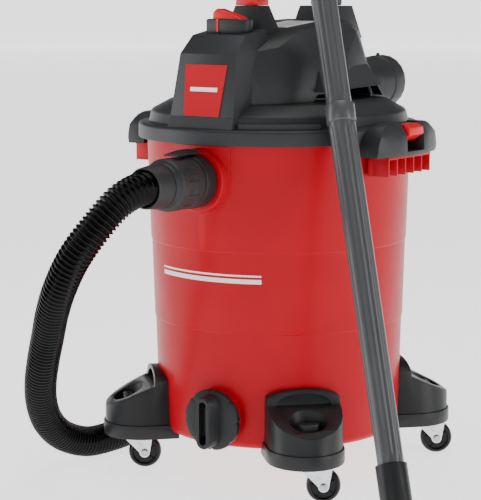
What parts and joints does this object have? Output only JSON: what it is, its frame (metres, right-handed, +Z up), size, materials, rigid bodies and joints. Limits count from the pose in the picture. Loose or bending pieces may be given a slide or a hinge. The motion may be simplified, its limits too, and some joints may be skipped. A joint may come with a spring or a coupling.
{
  "type": "shop vacuum",
  "caption": "Wet and dry shop vacuum: tapered drum on casters, lid with motor housing, corrugated hose on the front port and a wand leaning on the lid.",
  "frame": {"origin": "centre of the drum's flat underside, 63 mm above the floor that the casters stand on", "axes": "+Z up along the drum axis; the inlet port, label and switch face -Y; +X is to the right of someone looking along +Y at the inlet"},
  "size_m": [0.9596, 1.0576, 1.0375],
  "materials": {
    "drum_red": "satin, fine moulded texture",
    "body_black": "satin, fine moulded texture",
    "dark_black": "satin",
    "trim_red": "satin gloss",
    "hose_black": "semi-gloss corrugated",
    "wand_grey": "satin, fluted",
    "zinc": "pale zinc plate",
    "steel": "bright",
    "wheel_black": "semi-gloss",
    "rubber": "matt",
    "label_red": "printed film",
    "label_white": "printed film",
    "filter_paper": "pleated paper",
    "copper": "wound copper and laminations"
  },
  "bodies": {
    "root": {"drum": "drum_red", "drain_gasket": "rubber", "inlet_deflector": "body_black", "lid": "body_black", "lid_seal": "rubber", "motor_cover": "body_black", "front_label": "label_red", "top_label": "label_white", "switch_housing": "dark_black", "handle_cap": "trim_red", "handle": "dark_black", "cord_gland": "rubber", "blower_port": "body_black", "fan_housing": "body_black", "motor": "copper", "filter_cage": "body_black", "filter_cartridge": "filter_paper", "foot_rear_right": "dark_black", "foot_rear_left": "dark_black", "foot_front_left": "dark_black", "foot_front_right": "dark_black", "latch_body_right": "body_black", "latch_pin_right": "steel", "latch_body_left": "body_black", "latch_pin_left": "steel", "hose_connector": "body_black", "hose_cuff": "body_black", "hose": "hose_black", "hose_end_cuff": "body_black"},
    "caster_rear_right": {"caster_stem_rear_right": "steel", "caster_fork_rear_right": "zinc", "caster_axle_rear_right": "steel"},
    "wheel_rear_right": {"caster_wheel_rear_right": "wheel_black"},
    "caster_rear_left": {"caster_stem_rear_left": "steel", "caster_fork_rear_left": "zinc", "caster_axle_rear_left": "steel"},
    "wheel_rear_left": {"caster_wheel_rear_left": "wheel_black"},
    "caster_front_left": {"caster_stem_front_left": "steel", "caster_fork_front_left": "zinc", "caster_axle_front_left": "steel"},
    "wheel_front_left": {"caster_wheel_front_left": "wheel_black"},
    "caster_front_right": {"caster_stem_front_right": "steel", "caster_fork_front_right": "zinc", "caster_axle_front_right": "steel"},
    "wheel_front_right": {"caster_wheel_front_right": "wheel_black"},
    "drain": {"drain_cap": "dark_black"},
    "rocker": {"switch_rocker": "trim_red"},
    "latch_right": {"latch_lever_right": "trim_red"},
    "latch_left": {"latch_lever_left": "trim_red"},
    "rotor": {"motor_shaft": "steel", "impeller": "zinc"},
    "float_ball": {"float": "label_white"},
    "nut": {"filter_nut": "dark_black"},
    "ring": {"lock_ring": "body_black"},
    "clip": {"release_clip": "dark_black"},
    "wand": {"wand_lower": "wand_grey", "floor_nozzle": "dark_black"},
    "wand_top": {"wand_upper": "wand_grey"}
  },
  "joints": [
    {"name": "swivel_rear_right", "type": "hinge", "parent": "root", "child": "caster_rear_right", "pos_m": [0.16405, 0.16405, 0], "axis": [0, 0, 1], "continuous": true},
    {"name": "roll_rear_right", "type": "hinge", "parent": "caster_rear_right", "child": "wheel_rear_right", "pos_m": [0.18218, 0.17651, -0.038], "axis": [-0.5664, 0.8241, 0], "continuous": true},
    {"name": "swivel_rear_left", "type": "hinge", "parent": "root", "child": "caster_rear_left", "pos_m": [-0.16405, 0.16405, 0], "axis": [0, 0, 1], "continuous": true},
    {"name": "roll_rear_left", "type": "hinge", "parent": "caster_rear_left", "child": "wheel_rear_left", "pos_m": [-0.14592, 0.17651, -0.038], "axis": [-0.5664, 0.8241, 0], "continuous": true},
    {"name": "swivel_front_left", "type": "hinge", "parent": "root", "child": "caster_front_left", "pos_m": [-0.16405, -0.16405, 0], "axis": [0, 0, 1], "continuous": true},
    {"name": "roll_front_left", "type": "hinge", "parent": "caster_front_left", "child": "wheel_front_left", "pos_m": [-0.14592, -0.15159, -0.038], "axis": [-0.5664, 0.8241, 0], "continuous": true},
    {"name": "swivel_front_right", "type": "hinge", "parent": "root", "child": "caster_front_right", "pos_m": [0.16405, -0.16405, 0], "axis": [0, 0, 1], "continuous": true},
    {"name": "roll_front_right", "type": "hinge", "parent": "caster_front_right", "child": "wheel_front_right", "pos_m": [0.18218, -0.15159, -0.038], "axis": [-0.5664, 0.8241, 0], "continuous": true},
    {"name": "drain_turn", "type": "hinge", "parent": "root", "child": "drain", "pos_m": [0.02091, -0.1989, 0.045], "axis": [0.1045, -0.9945, 0], "range_deg": [-120, 0]},
    {"name": "switch_rock", "type": "hinge", "parent": "root", "child": "rocker", "pos_m": [0, -0.122, 0.6175], "axis": [0, 1, 0], "range_deg": [-12, 0]},
    {"name": "latch_right_lever", "type": "hinge", "parent": "root", "child": "latch_right", "pos_m": [0.2241, 0, 0.454], "axis": [0, 1, 0], "range_deg": [0, 60]},
    {"name": "latch_left_lever", "type": "hinge", "parent": "root", "child": "latch_left", "pos_m": [-0.2241, 0, 0.454], "axis": [0, -1, 0], "range_deg": [0, 60]},
    {"name": "motor_spin", "type": "hinge", "parent": "root", "child": "rotor", "pos_m": [0, 0, 0.5045], "axis": [0, 0, 1], "continuous": true},
    {"name": "float_rise", "type": "slide", "parent": "root", "child": "float_ball", "axis": [0, 0, 1], "range_m": [0, 0.11]},
    {"name": "filter_nut_turn", "type": "hinge", "parent": "root", "child": "nut", "pos_m": [0, 0, 0.27], "axis": [0, 0, 1], "continuous": true},
    {"name": "lock_ring_turn", "type": "hinge", "parent": "root", "child": "ring", "pos_m": [0, -0.22, 0.395], "axis": [0, -1, 0], "range_deg": [0, 40]},
    {"name": "release_clip_press", "type": "hinge", "parent": "root", "child": "clip", "pos_m": [0, -0.2503, 0.4331], "axis": [1, 0, 0], "range_deg": [0, 6], "stiffness_Nm_per_rad": 0.6},
    {"name": "wand_lift", "type": "slide", "parent": "root", "child": "wand", "axis": [-0.3398, 0.2752, 0.8993], "range_m": [0, 0.12]},
    {"name": "wand_pull_out", "type": "slide", "parent": "wand", "child": "wand_top", "axis": [-0.3398, 0.2752, 0.8993], "range_m": [0, 0.06]}
  ]
}
